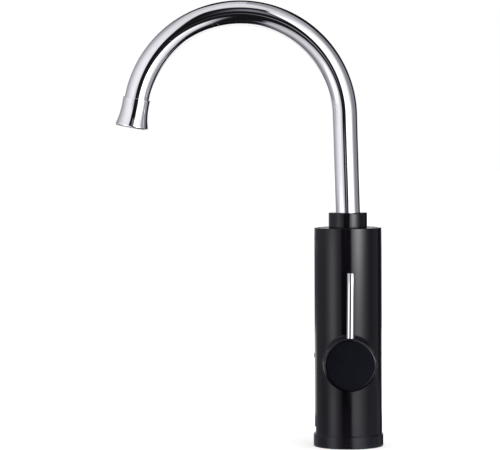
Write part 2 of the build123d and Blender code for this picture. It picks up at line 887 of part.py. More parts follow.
def make_temperature_sensor():
    part = disc(sensor_r, chamber_cap_z1 - sensor_len, chamber_cap_z1, chamber_x, sensor_ring_r)
    part = fillet(part.edges().sort_by(Axis.Z)[0], sensor_nose)
    head_z1 = chamber_cap_z1 + sensor_head_h
    return part + disc(sensor_head_r, chamber_cap_z1, head_z1, chamber_x, sensor_ring_r)


def make_thermal_cutout():
    reach = chamber_r + cutout_t
    middle = Pos(chamber_x, 0, (chamber_z0 + chamber_z1) / 2)
    part = middle * Rot(90, 0, 0) * Cylinder(cutout_r, reach, align=UP)
    return part - disc(chamber_r + RUN, chamber_z0, chamber_z1, chamber_x)


# Cold pipe, from the back of the valve to the outlet socket

cold_turn = math.atan2(pipe_y, pipe_x)


def cold_point(radius, z):
    # A point over the pipe's bearing, at one radius from the body axis
    return (radius * math.cos(cold_turn), radius * math.sin(cold_turn), z)


def make_cold_pipe():
    start_y = barrel_back - pipe_seat + SLIP
    low_z = handle_z + port_up
    high_z = socket_z0 + socket_cold_h
    points = [(pipe_x, start_y, low_z), (pipe_x, pipe_y, low_z), (pipe_x, pipe_y, high_z)]
    points.append(cold_point(socket_r - pipe_seat + SLIP, high_z))
    high_bend = pipe_ring_r - socket_r - SLIP
    path = FilletPolyline(*points, radius=[pipe_low_bend, high_bend])
    face = Plane(path @ 0, z_dir=path % 0) * (Circle(pipe_r) - Circle(pipe_r - pipe_wall))
    return sweep(face, path)


# Outlet socket and collar nut

def make_outlet_socket():
    part = disc(socket_r, socket_z0, socket_z1)
    part += disc(socket_r + socket_flange_w, cap_z0 - cap_ledge_h, cap_z0)
    part -= disc(socket_bore_r, socket_floor_z, socket_z1)
    part -= disc(spigot_r + RUN, socket_z0, socket_z0 + spigot_seat, hot_out_x)
    part -= disc(spigot_r - spigot_wall, socket_z0, socket_floor_z, hot_out_x)
    cold_z = socket_z0 + socket_cold_h
    inner = cold_point(cold_stop_r, cold_z)
    part -= disc(pipe_r - pipe_wall, cold_z, socket_floor_z, inner[0], inner[1])
    toward = Plane(origin=inner, z_dir=(math.cos(cold_turn), math.sin(cold_turn), 0))
    part -= toward * Cylinder(pipe_r - pipe_wall, socket_r, align=UP)
    seat = cold_point(socket_r - pipe_seat, cold_z)
    seat_plane = Plane(origin=seat, z_dir=(math.cos(cold_turn), math.sin(cold_turn), 0))
    return part - seat_plane * Cylinder(pipe_r + RUN, socket_r, align=UP)


def make_collar():
    part = disc(collar_r, collar_z0, collar_top_z)
    part = fillet(outer_circle(part, collar_r, collar_top_z), collar_edge)
    part = chamfer(outer_circle(part, collar_r, collar_z0), collar_edge / 2)
    part -= disc(socket_r + RUN, collar_z0, collar_top_z - collar_lip)
    return part - disc(spout_r + collar_bore_play, collar_z0, collar_top_z)


# Spout

ferrule_flange_z0 = socket_z1 + SLIP


def spout_frame():
    # Centre of the main arc, its end point and the direction the end points in
    lean = math.radians(riser_lean)
    reach = root_bend_r - arc_r
    centre = (reach * math.cos(lean) - riser_len * math.sin(lean) - root_bend_r,
              collar_top_z + reach * math.sin(lean) + riser_len * math.cos(lean))
    end = math.radians(arc_end_angle)
    tip = (centre[0] + arc_r * math.cos(end), centre[1] + arc_r * math.sin(end))
    return centre, tip, (-math.sin(end), math.cos(end))


def spout_run(r):
    # The solid of one radius along the whole spout line
    centre, tip, aim = spout_frame()
    lean = math.radians(riser_lean)
    root = disc(r, ferrule_z0, collar_top_z)
    bend_axis = Axis((-root_bend_r, 0, collar_top_z), (0, -1, 0))
    bend = revolve(Plane((0, 0, collar_top_z)) * Circle(r), bend_axis, riser_lean)
    up = (-math.sin(lean), 0, math.cos(lean))
    foot = (root_bend_r * (math.cos(lean) - 1), 0, collar_top_z + root_bend_r * math.sin(lean))
    riser = Plane(foot, x_dir=(0, 1, 0), z_dir=up) * Cylinder(r, riser_len, align=UP)
    start = (centre[0] + arc_r * math.cos(lean), 0, centre[1] + arc_r * math.sin(lean))
    start_plane = Plane(start, x_dir=(0, 1, 0), z_dir=up)
    arc_axis = Axis((centre[0], 0, centre[1]), (0, -1, 0))
    arc = revolve(start_plane * Circle(r), arc_axis, arc_end_angle - riser_lean)
    tip_plane = Plane((tip[0], 0, tip[1]), x_dir=(0, 1, 0), z_dir=(aim[0], 0, aim[1]))
    tail = tip_plane * Cylinder(r, spout_tail, align=UP)
    return root + bend + riser + arc + tail


def make_spout_tube():
    return spout_run(spout_r) - spout_run(spout_r - spout_wall)


def make_spout_ferrule():
    part = disc(ferrule_r, ferrule_z0, ferrule_flange_z0)
    flange_z = ferrule_flange_z0 + ferrule_flange_t
    part += disc(ferrule_r + ferrule_flange_w, ferrule_flange_z0, flange_z)
    part -= disc(spout_r + RUN, ferrule_z0, flange_z)
    for drop in o_ring_drop:
        z = ferrule_flange_z0 - drop
        part -= ring(ferrule_r, ferrule_r - 2 * o_ring_r, z - o_ring_r, z + o_ring_r)
    return part


def make_spout_o_rings():
    rings = []
    for drop in o_ring_drop:
        rings.append(Pos(0, 0, ferrule_flange_z0 - drop) * Torus(ferrule_r - o_ring_r, o_ring_r))
    return Compound(children=rings)


# Flared housing and aerator, drawn from the end of the main arc

def at_tip(part):
    # From an upright part with its top at the origin to the spout's end
    tip, aim = spout_frame()[1:]
    plane = Plane((tip[0], 0, tip[1]), x_dir=(0, 1, 0), z_dir=(aim[0], 0, aim[1]))
    return plane * part


washer_s0 = spout_tail
insert_s0 = washer_s0 + washer_t
insert_s1 = insert_s0 + insert_h


def make_bell():
    flare_h = bell_h - bell_lip - bell_straight_h
    flare = bell_mouth_r - bell_top_r
    flare_r = (flare_h**2 + flare**2) / (2 * flare)
    half_turn = math.asin(flare_h / flare_r) / 2
    mid = (bell_top_r + flare_r * (1 - math.cos(half_turn)), bell_straight_h + flare_r * math.sin(half_turn))
    lip_s = bell_h - bell_lip
    outer = Polyline((spout_r + RUN, 0), (bell_top_r - bell_edge, 0), (bell_top_r, bell_edge),
                     (bell_top_r, bell_straight_h))
    outer += ThreePointArc((bell_top_r, bell_straight_h), mid, (bell_mouth_r, lip_s))
    corner = bell_lip * (1 - math.sqrt(0.5))
    outer += ThreePointArc((bell_mouth_r, lip_s), (bell_mouth_r - corner, bell_h - corner),
                           (bell_mouth_r - bell_lip, bell_h))
    outer += Polyline((bell_mouth_r - bell_lip, bell_h), (mouth_r, bell_h - bell_lip_inner),
                      (mouth_r, insert_s1), (insert_r + SLIP, insert_s1), (insert_r + SLIP, washer_s0),
                      (spout_r + RUN, washer_s0), (spout_r + RUN, 0))
    profile = Plane.XZ * make_face(outer)
    return at_tip(revolve(profile, Axis.Z))


def make_aerator_washer():
    return at_tip(ring(insert_r, washer_bore_r, washer_s0, insert_s0))


def make_aerator_insert():
    part = ring(insert_r, insert_hole_r, insert_s0, insert_s1)
    for i in range(1, insert_ring_count + 1):
        for x, y in around(i * insert_ring_step, i * holes_per_ring_count):
            part -= disc(insert_hole_r, insert_s0, insert_s1, x, y)
    return at_tip(part)


# Every piece and the file it is written to

pieces = {
    "body_shell": make_body_shell,
    "top_cap": make_top_cap,
    "foot_ring": make_foot_ring,
    "base_plate": make_base_plate,
    "foot_screws": make_foot_screws,
    "base_gasket": make_base_gasket,
    "inlet_shank": make_inlet_shank,
    "rubber_washer": lambda: clamp_washer(-worktop_t, rubber_washer_t),
    "steel_washer": lambda: clamp_washer(-worktop_t - rubber_washer_t, steel_washer_t),
    "fixing_nut": make_fixing_nut,
    "inlet_filter": make_inlet_filter,
    "cord_gland": make_cord_gland,
    "terminal_block": make_terminal_block,
    "terminal_screws": make_terminal_screws,
    "valve_block": make_valve_block,
    "cartridge_seal": make_cartridge_seal,
    "fixed_disc": make_fixed_disc,
    "cartridge_housing": make_cartridge_housing,
    "cartridge_nut": make_cartridge_nut,
    "flow_tube": make_flow_tube,
    "flow_guide": make_flow_guide,
    "flow_spring": make_flow_spring,
    "reed_switch": make_reed_switch,
    "control_board": make_control_board,
    "board_screws": make_board_screws,
    "power_triac": make_power_triac,
    "display_module": make_display_module,
    "display_window": make_display_window,
    "front_strip": make_front_strip,
    "lamp_lens": make_lamp_lens,
    "heating_chamber": make_chamber,
    "chamber_gasket": make_chamber_gasket,
    "chamber_cap": make_chamber_cap,
    "heating_coil": make_heating_coil,
    "temperature_sensor": make_temperature_sensor,
    "thermal_cutout": make_thermal_cutout,
    "cold_pipe": make_cold_pipe,
    "outlet_socket": make_outlet_socket,
    "collar_nut": make_collar,
    "spout_tube": make_spout_tube,
    "spout_ferrule": make_spout_ferrule,
    "spout_o_rings": make_spout_o_rings,
    "aerator_housing": make_bell,
    "aerator_washer": make_aerator_washer,
    "aerator_insert": make_aerator_insert,
    "knob": make_knob,
    "knob_cap": make_knob_cap,
    "knob_screw": make_knob_screw,
    "lever_rod": make_lever_rod,
    "valve_stem": make_valve_stem,
    "moving_disc": make_moving_disc,
    "flow_float": make_flow_float,
    "flow_magnet": make_flow_magnet,
}

os.makedirs("parts", exist_ok=True)
for name, make in pieces.items():
    export_step(make(), f"parts/{name}.step")
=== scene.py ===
import bpy
import math
from mathutils import Matrix, Quaternion, Vector


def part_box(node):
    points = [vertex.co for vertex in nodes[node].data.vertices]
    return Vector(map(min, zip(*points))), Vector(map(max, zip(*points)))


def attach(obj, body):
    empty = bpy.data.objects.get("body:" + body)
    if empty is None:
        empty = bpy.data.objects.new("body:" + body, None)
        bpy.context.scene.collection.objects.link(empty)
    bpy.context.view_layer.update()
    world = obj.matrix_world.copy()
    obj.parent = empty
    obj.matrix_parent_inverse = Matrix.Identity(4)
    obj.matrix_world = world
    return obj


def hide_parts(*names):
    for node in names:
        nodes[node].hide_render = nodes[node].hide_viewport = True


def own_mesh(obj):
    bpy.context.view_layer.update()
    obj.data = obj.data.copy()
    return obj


# Electric instant water heater tap: finishes for its CAD nodes, finer meshes in place of five
# of them, and a studio with the camera at the photograph's viewing angle. Lengths are in
# metres, in the row's own frame: +Z is up, the spout reaches towards -X, and the lever and
# the camera are on the -Y side.

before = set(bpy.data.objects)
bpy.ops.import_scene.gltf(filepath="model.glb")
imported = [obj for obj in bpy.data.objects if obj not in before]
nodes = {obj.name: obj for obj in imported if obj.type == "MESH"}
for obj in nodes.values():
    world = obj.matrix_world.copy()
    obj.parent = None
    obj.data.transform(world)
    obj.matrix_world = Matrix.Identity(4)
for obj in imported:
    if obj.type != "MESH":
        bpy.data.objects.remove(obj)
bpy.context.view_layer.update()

MM = 0.001


# Node helpers

def new_material(name):
    mat = bpy.data.materials.new(name)
    mat.use_nodes = True
    tree = mat.node_tree
    return mat, tree, tree.nodes["Principled BSDF"]


def coords(tree):
    return tree.nodes.new("ShaderNodeTexCoord").outputs["Object"]


def noise(tree, vector, scale, detail, roughness=0.5):
    node = tree.nodes.new("ShaderNodeTexNoise")
    node.inputs["Scale"].default_value = scale
    node.inputs["Detail"].default_value = detail
    node.inputs["Roughness"].default_value = roughness
    tree.links.new(vector, node.inputs["Vector"])
    return node.outputs["Fac"]


def spread(tree, value, low, high, from_low=0.3, from_high=0.7):
    # Values between from_low and from_high, drawn out between low and high
    node = tree.nodes.new("ShaderNodeMapRange")
    node.inputs["From Min"].default_value = from_low
    node.inputs["From Max"].default_value = from_high
    node.inputs["To Min"].default_value = low
    node.inputs["To Max"].default_value = high
    tree.links.new(value, node.inputs["Value"])
    return node.outputs["Result"]


def mixed(tree, factor, first, second):
    node = tree.nodes.new("ShaderNodeMix")
    node.data_type = "RGBA"
    tree.links.new(factor, node.inputs["Factor"])
    for socket, value in (("A", first), ("B", second)):
        target = [s for s in node.inputs if s.name == socket and s.type == "RGBA"][0]
        if isinstance(value, tuple):
            target.default_value = (*value, 1.0)
        else:
            tree.links.new(value, target)
    return [s for s in node.outputs if s.type == "RGBA"][0]


def math_node(tree, operation, first, second):
    node = tree.nodes.new("ShaderNodeMath")
    node.operation = operation
    for i, value in enumerate((first, second)):
        if isinstance(value, (int, float)):
            node.inputs[i].default_value = value
        else:
            tree.links.new(value, node.inputs[i])
    return node.outputs[0]


def bump(tree, height, strength, distance):
    node = tree.nodes.new("ShaderNodeBump")
    node.inputs["Strength"].default_value = strength
    node.inputs["Distance"].default_value = distance
    tree.links.new(height, node.inputs["Height"])
    return node.outputs["Normal"]


def edges(tree, low, high):
    # 0 on flat ground, 1 on the sharpest outer edges
    point = tree.nodes.new("ShaderNodeNewGeometry").outputs["Pointiness"]
    return spread(tree, point, 0.0, 1.0, low, high)


def shade(colour, factor):
    return tuple(min(1.0, c * factor) for c in colour)


# Materials

BLOTCH_SHADES = (0.86, 1.14)
RUBBED_POINTINESS = (0.53, 0.62)
SCUFF_SHARE = (0.2, 1.0)
SCUFF_ROUGHNESS = 0.12
GLOSS_SPREAD = (0.9, 1.12)
SKIN_STRENGTH = 0.35

MARK_SHADES = (0.93, 1.05)
TARNISH_SHARE = (0.0, 0.6)
TARNISH_AT = (0.62, 0.77)
POLISH_SPREAD = (0.8, 1.25)
MARK_STRENGTH = 0.3


def plastic(name, colour, roughness, grain, grain_depth, wear, ior=1.46, spec=0.5):
    # Moulded plastic: faint blotches, uneven gloss, a fine skin and rubbed edges, which are
    # wear times as bright
    mat, tree, shader = new_material(name)
    where = coords(tree)
    blotch = noise(tree, where, scale=55.0, detail=4.0)
    dark, light = (shade(colour, s) for s in BLOTCH_SHADES)
    body = mixed(tree, blotch, dark, light)
    rubbed = edges(tree, *RUBBED_POINTINESS)
    scuffs = noise(tree, where, scale=700.0, detail=6.0, roughness=0.7)
    worn = math_node(tree, "MULTIPLY", rubbed, spread(tree, scuffs, *SCUFF_SHARE))
    tree.links.new(mixed(tree, worn, body, shade(colour, wear)), shader.inputs["Base Color"])
    uneven = noise(tree, where, scale=130.0, detail=5.0)
    gloss = spread(tree, uneven, *(roughness * s for s in GLOSS_SPREAD))
    scuffed = math_node(tree, "MULTIPLY", worn, SCUFF_ROUGHNESS)
    tree.links.new(math_node(tree, "ADD", gloss, scuffed), shader.inputs["Roughness"])
    shader.inputs["IOR"].default_value = ior
    shader.inputs["Specular IOR Level"].default_value = spec
    skin = noise(tree, where, scale=grain, detail=2.0)
    tree.links.new(bump(tree, skin, SKIN_STRENGTH, grain_depth), shader.inputs["Normal"])
    return mat


def metal(name, colour, roughness, grain, depth, stretch=(1.0, 1.0, 1.0), tarnish=None):
    # Metal: fine marks, drawn out along an axis whose stretch is under 1, uneven polish and,
    # if a tarnish is given, its colour in patches
    mat, tree, shader = new_material(name)
    where = coords(tree)
    mapping = tree.nodes.new("ShaderNodeMapping")
    mapping.inputs["Scale"].default_value = stretch
    tree.links.new(where, mapping.inputs["Vector"])
    marks = noise(tree, mapping.outputs["Vector"], scale=grain, detail=6.0, roughness=0.6)
    patch = noise(tree, where, scale=80.0, detail=4.0)
    dark, light = (shade(colour, s) for s in MARK_SHADES)
    tint = mixed(tree, marks, dark, light)
    if tarnish:
        stained = spread(tree, patch, *TARNISH_SHARE, *TARNISH_AT)
        tint = mixed(tree, stained, tint, tarnish)
    tree.links.new(tint, shader.inputs["Base Color"])
    shader.inputs["Metallic"].default_value = 1.0
    polish = spread(tree, patch, *(roughness * s for s in POLISH_SPREAD))
    tree.links.new(polish, shader.inputs["Roughness"])
    tree.links.new(bump(tree, marks, MARK_STRENGTH, depth), shader.inputs["Normal"])
    return mat


BLACK = (0.0042, 0.0032, 0.0058)
gloss_black = plastic("gloss_black", BLACK, roughness=0.13, ior=1.36,
                      grain=1800.0, grain_depth=0.000006, wear=2.6)
foot_black = plastic("foot_black", BLACK, roughness=0.16, ior=1.38,
                     grain=2600.0, grain_depth=0.00001, wear=2.6)
knob_black = plastic("knob_black", BLACK, roughness=0.08, ior=1.36,
                     grain=1800.0, grain_depth=0.000004, wear=2.6)
satin_face = plastic("satin_face", (0.0036, 0.0040, 0.0070), roughness=0.19, ior=1.40,
                     spec=0.22, grain=5200.0, grain_depth=0.00001, wear=2.0)
inner_black = plastic("inner_black", (0.016, 0.016, 0.017), roughness=0.48,
                      grain=2200.0, grain_depth=0.00002, wear=2.0)
window_glass = plastic("window_glass", (0.006, 0.006, 0.0075), roughness=0.07, ior=1.49,
                       grain=260.0, grain_depth=0.000002, wear=1.4)
lamp_red = plastic("lamp_red", (0.11, 0.018, 0.018), roughness=0.16, ior=1.49,
                   grain=1200.0, grain_depth=0.000008, wear=1.2)
natural_white = plastic("natural_white", (0.76, 0.75, 0.71), roughness=0.38,
                        grain=1500.0, grain_depth=0.00002, wear=1.1)
rubber = plastic("black_rubber", (0.030, 0.030, 0.031), roughness=0.72, ior=1.5,
                 spec=0.35, grain=1500.0, grain_depth=0.00006, wear=1.8)
ceramic = plastic("lapped_ceramic", (0.84, 0.83, 0.79), roughness=0.16, ior=1.6,
                  grain=3000.0, grain_depth=0.000004, wear=1.05)
magnet_grey = plastic("sintered_magnet", (0.10, 0.10, 0.105), roughness=0.55, ior=1.6,
                      grain=1800.0, grain_depth=0.00008, wear=1.6)
chrome = metal("bright_chrome", (0.80, 0.80, 0.81), roughness=0.04, grain=220.0,
               depth=0.0000015)
rod_chrome = metal("rod_chrome", (0.56, 0.555, 0.55), roughness=0.05, grain=220.0,
                   depth=0.0000015)
brass = metal("turned_brass", (0.78, 0.58, 0.27), roughness=0.27, grain=1200.0,
              depth=0.000012, stretch=(0.08, 0.08, 1.0), tarnish=(0.42, 0.27, 0.12))
zinc = metal("zinc_steel", (0.62, 0.62, 0.61), roughness=0.30, grain=1500.0,
             depth=0.00001, stretch=(1.0, 1.0, 0.2), tarnish=(0.40, 0.39, 0.37))
stainless = metal("stainless", (0.64, 0.63, 0.61), roughness=0.24, grain=1300.0,
                  depth=0.00001, stretch=(0.1, 0.1, 1.0))
copper = metal("drawn_copper", (0.80, 0.44, 0.30), roughness=0.26, grain=1400.0,
               depth=0.00001, stretch=(1.0, 1.0, 0.06), tarnish=(0.36, 0.17, 0.10))

BOARD_CELLS = {
    "Scale": 260.0,
    "Mortar Size": 0.06,
    "Color1": (0.018, 0.105, 0.045, 1.0),
    "Color2": (0.022, 0.125, 0.055, 1.0),
    "Mortar": (0.035, 0.19, 0.085, 1.0),
}
BOARD_DARK = (0.02, 0.07, 0.03)
BOARD_DARK_SHARE = (0.0, 0.25)
BOARD_ROUGHNESS = (0.28, 0.42)


def board_material():
    # Solder mask, paler over its copper tracks, with cloudy patches
    mat, tree, shader = new_material("board_mask")
    where = coords(tree)
    cells = tree.nodes.new("ShaderNodeTexBrick")
    for socket, value in BOARD_CELLS.items():
        cells.inputs[socket].default_value = value
    swap = tree.nodes.new("ShaderNodeMapping")
    swap.inputs["Rotation"].default_value = (0.0, math.pi / 2, 0.0)
    tree.links.new(where, swap.inputs["Vector"])
    tree.links.new(swap.outputs["Vector"], cells.inputs["Vector"])
    cloud = noise(tree, where, scale=150.0, detail=3.0)
    patches = spread(tree, cloud, *BOARD_DARK_SHARE)
    tree.links.new(mixed(tree, patches, cells.outputs["Color"], BOARD_DARK),
                   shader.inputs["Base Color"])
    tree.links.new(spread(tree, cloud, *BOARD_ROUGHNESS), shader.inputs["Roughness"])
    tree.links.new(bump(tree, cells.outputs["Fac"], strength=0.4, distance=0.00003),
                   shader.inputs["Normal"])
    return mat


board_green = board_material()

FINISH = {
    gloss_black: ("body_shell", "top_cap", "front_strip", "collar_nut"),
    knob_black: ("knob",),
    foot_black: ("foot_ring",),
    satin_face: ("knob_cap",),
    inner_black: ("base_plate", "cord_gland", "reed_switch", "power_triac", "display_module",
                  "thermal_cutout"),
    window_glass: ("display_window",),
    lamp_red: ("lamp_lens",),
    natural_white: ("inlet_filter", "terminal_block", "cartridge_housing", "flow_tube",
                    "flow_guide", "heating_chamber", "chamber_cap", "aerator_insert",
                    "flow_float"),
    rubber: ("base_gasket", "rubber_washer", "cartridge_seal", "chamber_gasket",
             "spout_o_rings", "aerator_washer"),
    ceramic: ("fixed_disc", "moving_disc"),
    magnet_grey: ("flow_magnet",),
    chrome: ("spout_tube", "aerator_housing"),
    rod_chrome: ("lever_rod",),
    brass: ("inlet_shank", "fixing_nut", "valve_block", "cartridge_nut", "outlet_socket",
            "spout_ferrule", "valve_stem"),
    zinc: ("foot_screws", "steel_washer", "terminal_screws", "board_screws", "knob_screw"),
    stainless: ("flow_spring", "heating_coil", "temperature_sensor"),
    copper: ("cold_pipe",),
    board_green: ("control_board",),
}
for mat, names in FINISH.items():
    for name in names:
        nodes[name].data.materials.clear()
        nodes[name].data.materials.append(mat)


# Mesh helpers

def add_piece(name, verts, faces, mat, body, slot, stands_for, sharp=35.0):
    # A smooth mesh that rides on a body in place of one CAD node
    mesh = bpy.data.meshes.new(name)
    mesh.from_pydata(verts, [], faces)
    mesh.validate()
    mesh.update()
    mesh.shade_smooth()
    mesh.set_sharp_from_angle(angle=math.radians(sharp))
    mesh.materials.append(mat)
    obj = bpy.data.objects.new(name, mesh)
    bpy.context.scene.collection.objects.link(obj)
    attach(obj, body)
    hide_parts(stands_for)
    return obj


def grid_faces(rows, columns, close_rows=False):
    # Quads between rows of points, each row a closed loop
    faces = []
    for i in range(rows if close_rows else rows - 1):
        low = i * columns
        high = ((i + 1) % rows) * columns
        for j in range(columns):
            k = (j + 1) % columns
            faces.append((low + j, low + k, high + k, high + j))
    return faces


def turns(sides):
    # Angles of the points of one loop
    return [2 * math.pi * j / sides for j in range(sides)]


def lathe(profile, sides, place):
    # A closed profile of (radius, height) turned about Z
    verts = [place @ Vector((r * math.cos(a), r * math.sin(a), z))
             for r, z in profile for a in turns(sides)]
    return verts, grid_faces(len(profile), sides, True)


def round_corner(centre, radius, start, end, steps):
    # Points of an arc in a profile, angles in degrees
    arc = [math.radians(start + (end - start) * i / steps) for i in range(steps + 1)]
    return [(centre[0] + radius * math.cos(t), centre[1] + radius * math.sin(t)) for t in arc]


# Spout, on the same line as its solid

SPOUT_R = 11.0 * MM
SPOUT_WALL = 1.0 * MM
SPOUT_ROOT_Z = 175.2 * MM
COLLAR_TOP_Z = 207.5 * MM
ROOT_BEND_R = 60.0 * MM
RISER_LEAN = math.radians(1.6)
RISER_LEN = 85.3 * MM
ARC_R = 92.9 * MM
ARC_END = math.radians(169.2)
SPOUT_TAIL = 12.0 * MM
SPOUT_SIDES = 128


def bend(centre, radius, start, end, steps):
    # Points and directions along an arc in the spout's plane
    stretch = []
    for i in range(1, steps + 1):
        a = start + (end - start) * i / steps
        point = centre + radius * Vector((math.cos(a), 0, math.sin(a)))
        stretch.append((point, Vector((-math.sin(a), 0, math.cos(a)))))
    return stretch


def straight(start, direction, length, steps):
    return [(start + direction * length * i / steps, direction) for i in range(1, steps + 1)]


def spout_line():
    # Points and directions along the spout, and where its arc ends
    up = Vector((0, 0, 1))
    root = Vector((0, 0, SPOUT_ROOT_Z))
    line = [(root, up)]
    line += straight(root, up, COLLAR_TOP_Z - SPOUT_ROOT_Z, steps=6)
    line += bend(Vector((-ROOT_BEND_R, 0, COLLAR_TOP_Z)), ROOT_BEND_R, 0.0, RISER_LEAN, steps=3)
    line += straight(*line[-1], RISER_LEN, steps=12)
    top, lean = line[-1]
    toward = Vector((-lean.z, 0, lean.x))
    line += bend(top + toward * ARC_R, ARC_R, RISER_LEAN, ARC_END, steps=180)
    tip, aim = line[-1]
    line += straight(tip, aim, SPOUT_TAIL, steps=2)
    return line, tip, aim


run, tip, aim = spout_line()
tip_place = Matrix.Translation(tip) @ aim.to_track_quat("Z", "Y").to_matrix().to_4x4()


def add_spout():
    # The tube's outside from root to end, then its bore back to the root
    across = Vector((0, 1, 0))
    verts = []
    for radius, line in ((SPOUT_R, run), (SPOUT_R - SPOUT_WALL, run[::-1])):
        for point, direction in line:
            out = across.cross(direction)
            verts += [point + radius * (math.cos(a) * out + math.sin(a) * across)
                      for a in turns(SPOUT_SIDES)]
    add_piece("spout_skin", verts, grid_faces(2 * len(run), SPOUT_SIDES, True), chrome,
              "spout", "chrome", "spout_tube")


add_spout()

# Flared aerator housing, with radii from the tip's axis and heights from the tip
BELL_TOP_R = 12.2 * MM
BELL_MOUTH_R = 14.7 * MM
BELL_H = 26.4 * MM
BELL_COLLAR_H = 6.0 * MM
BELL_LIP = 1.8 * MM
BELL_EDGE = 0.35 * MM
BELL_TUBE_R = 11.05 * MM
BELL_WAY_R = 11.5 * MM
BELL_MOUTH_BORE_R = 12.4 * MM
BELL_MOUTH_FLOOR = 20.2 * MM
BELL_MOUTH_EDGE = ((12.6 * MM, 0.12 * MM), (BELL_MOUTH_BORE_R, 0.5 * MM))
BELL_FLARE_STEPS = 40
BELL_SIDES = 160


def bell_profile():
    # Outside from the top down to the lip, then the mouth and the bore back up
    flare_h = BELL_H - BELL_LIP - BELL_COLLAR_H
    flare = BELL_MOUTH_R - BELL_TOP_R
    big = (flare_h ** 2 + flare ** 2) / (2 * flare)
    full = math.asin(flare_h / big)
    edge_r = BELL_TOP_R - BELL_EDGE
    points = [(BELL_TUBE_R, 0.0), (edge_r, 0.0)]
    points += round_corner((edge_r, BELL_EDGE), BELL_EDGE, -90, 0, steps=6)
    points += [(BELL_TOP_R, BELL_COLLAR_H * i / 4) for i in (1, 2, 3)]
    for i in range(BELL_FLARE_STEPS + 1):
        a = full * i / BELL_FLARE_STEPS
        points.append((BELL_TOP_R + big * (1 - math.cos(a)), BELL_COLLAR_H + big * math.sin(a)))
    lip_centre = (BELL_MOUTH_R - BELL_LIP, BELL_H - BELL_LIP)
    points += round_corner(lip_centre, BELL_LIP, 0, 90, steps=10)[1:]
    points += [(r, BELL_H - depth) for r, depth in BELL_MOUTH_EDGE]
    points += [(BELL_MOUTH_BORE_R, BELL_MOUTH_FLOOR), (BELL_WAY_R, BELL_MOUTH_FLOOR)]
    return points + [(BELL_WAY_R, SPOUT_TAIL), (BELL_TUBE_R, SPOUT_TAIL)]


add_piece("bell_skin", *lathe(bell_profile(), BELL_SIDES, tip_place), chrome,
          "spout", "chrome", "aerator_housing")

# Lever rod, with heights from the knob's axis
ROD_R = 3.5 * MM
ROD_ROOT = 6.5 * MM
ROD_REACH = 80.0 * MM
ROD_EDGE = 0.5 * MM
ROD_ROWS = (20.0 * MM, 40.0 * MM, 60.0 * MM)
ROD_END_HOLE_R = 0.02 * MM
ROD_Y = -43.0 * MM
ROD_LEAN = math.radians(0.7)
ROD_SIDES = 96
HANDLE_Z = 76.0 * MM


def rod_profile():
    points = [(ROD_END_HOLE_R, ROD_ROOT), (ROD_R, ROD_ROOT)]
    points += [(ROD_R, z) for z in ROD_ROWS]
    points += round_corner((ROD_R - ROD_EDGE, ROD_REACH - ROD_EDGE), ROD_EDGE, 0, 90, steps=6)
    return points + [(ROD_END_HOLE_R, ROD_REACH)]


rod_place = Matrix.Translation((0, ROD_Y, HANDLE_Z)) @ Matrix.Rotation(ROD_LEAN, 4, "Y")
add_piece("rod_skin", *lathe(rod_profile(), ROD_SIDES, rod_place), rod_chrome,
          "handle", "chrome", "lever_rod")

# Inlet shank with its thread, its flange on the base plate and its nipple
SHANK_R = 10.4775 * MM
SHANK_BORE_R = 7.0 * MM
SHANK_LOW_Z = -58.0 * MM
SHANK_EDGE = 1.0 * MM
SHANK_SIDES = 96
RELIEF_Z0 = -43.0 * MM
RELIEF_Z1 = -41.0 * MM
RELIEF_R = 9.2775 * MM
RELIEF_MARGIN = 0.4 * MM
THREAD_TOP_Z = -2.0 * MM
THREAD_PITCH = 1.814 * MM
THREAD_DEPTH = 1.16 * MM
THREAD_CREST = 0.14
THREAD_FLANK = 0.72
THREAD_LOW_FADE = 1.2 * MM
THREAD_TOP_FADE = 1.5 * MM
THREAD_ROWS = 12
PLATE_TOP_Z = 7.0 * MM
FLANGE_TOP_Z = 10.0 * MM
FLANGE_R = 14.0 * MM
FLANGE_EDGE = 0.3 * MM
FLANGE_FLAT_X = 11.8 * MM
NIPPLE_R = 9.0 * MM
NIPPLE_TOP_Z = 20.0 * MM
NIPPLE_EDGE = 0.4 * MM


def thread_depth(z, a):
    # How deep the thread's groove is at one height and angle
    if not (SHANK_LOW_Z + SHANK_EDGE < z < THREAD_TOP_Z):
        return 0.0
    if RELIEF_Z0 - RELIEF_MARGIN < z < RELIEF_Z1 + RELIEF_MARGIN:
        return 0.0
    phase = (z / THREAD_PITCH + a / (2 * math.pi)) % 1.0
    groove = min(1.0, max(0.0, (abs(phase - 0.5) * 2 - THREAD_CREST) / THREAD_FLANK))
    fade = min(1.0, (z - SHANK_LOW_Z - SHANK_EDGE) / THREAD_LOW_FADE,
               (THREAD_TOP_Z - z) / THREAD_TOP_FADE)
    return THREAD_DEPTH * groove * fade


def shank_radius(z, a):
    if z <= SHANK_LOW_Z:
        return SHANK_R - SHANK_EDGE
    if RELIEF_Z0 <= z <= RELIEF_Z1:
        return RELIEF_R
    return SHANK_R - thread_depth(z, a)


